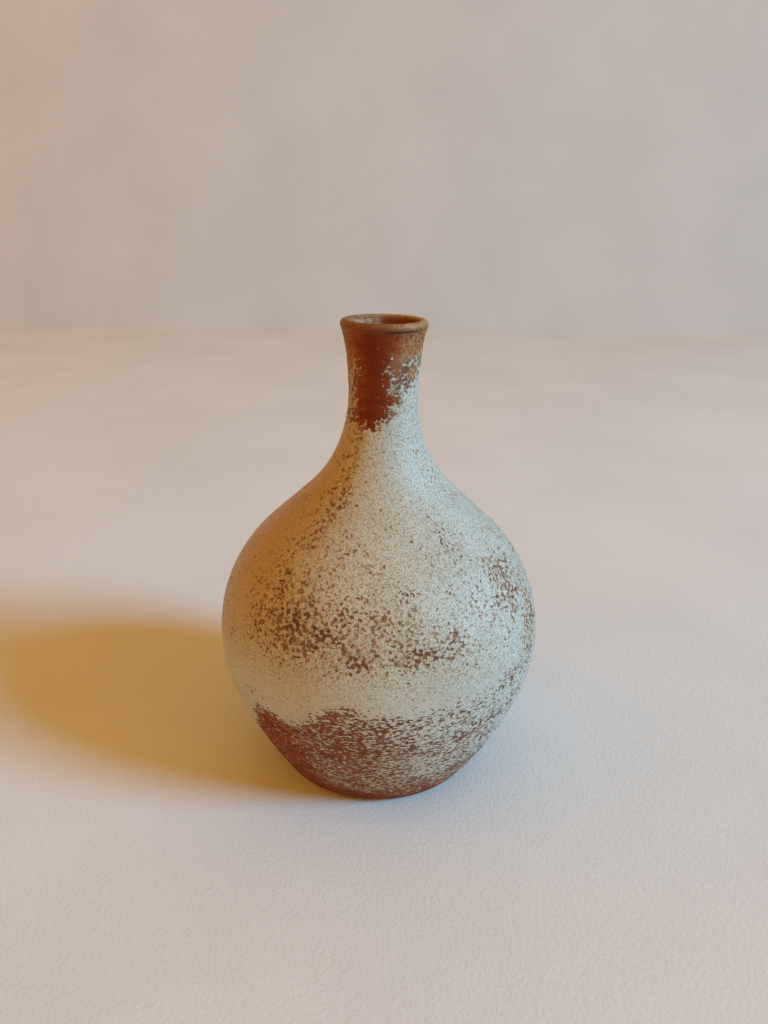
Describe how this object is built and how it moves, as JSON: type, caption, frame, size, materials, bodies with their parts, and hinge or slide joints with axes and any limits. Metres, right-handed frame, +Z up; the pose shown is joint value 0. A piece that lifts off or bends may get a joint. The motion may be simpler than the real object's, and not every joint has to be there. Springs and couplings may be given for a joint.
{
  "type": "bud vase",
  "caption": "Small wheel-thrown bottle vase with a round belly, narrow flared neck, rolled lip and flat foot; glazed pale over brown clay, holds cut stems in water.",
  "frame": {"origin": "centre of the foot, on the plane that the vase stands on", "axes": "+Z up along the vase's axis and out of its mouth; -Y towards the bare brown patch on the neck, which is the vase's front; +X to the right of someone facing that front"},
  "size_m": [0.0844, 0.0844, 0.12],
  "materials": {
    "stoneware": "bare iron-rich stoneware, dry and slightly gritty",
    "outer_glaze": "pale grey-green satin matt glaze, speckled where the clay shows through",
    "lip_glaze": "thin brown glaze, soft gloss",
    "liner_glaze": "pale gloss glaze"
  },
  "bodies": {
    "root": {"stoneware_body": "stoneware", "outer_glaze": "outer_glaze", "lip_glaze": "lip_glaze", "liner_glaze": "liner_glaze"}
  },
  "joints": []
}
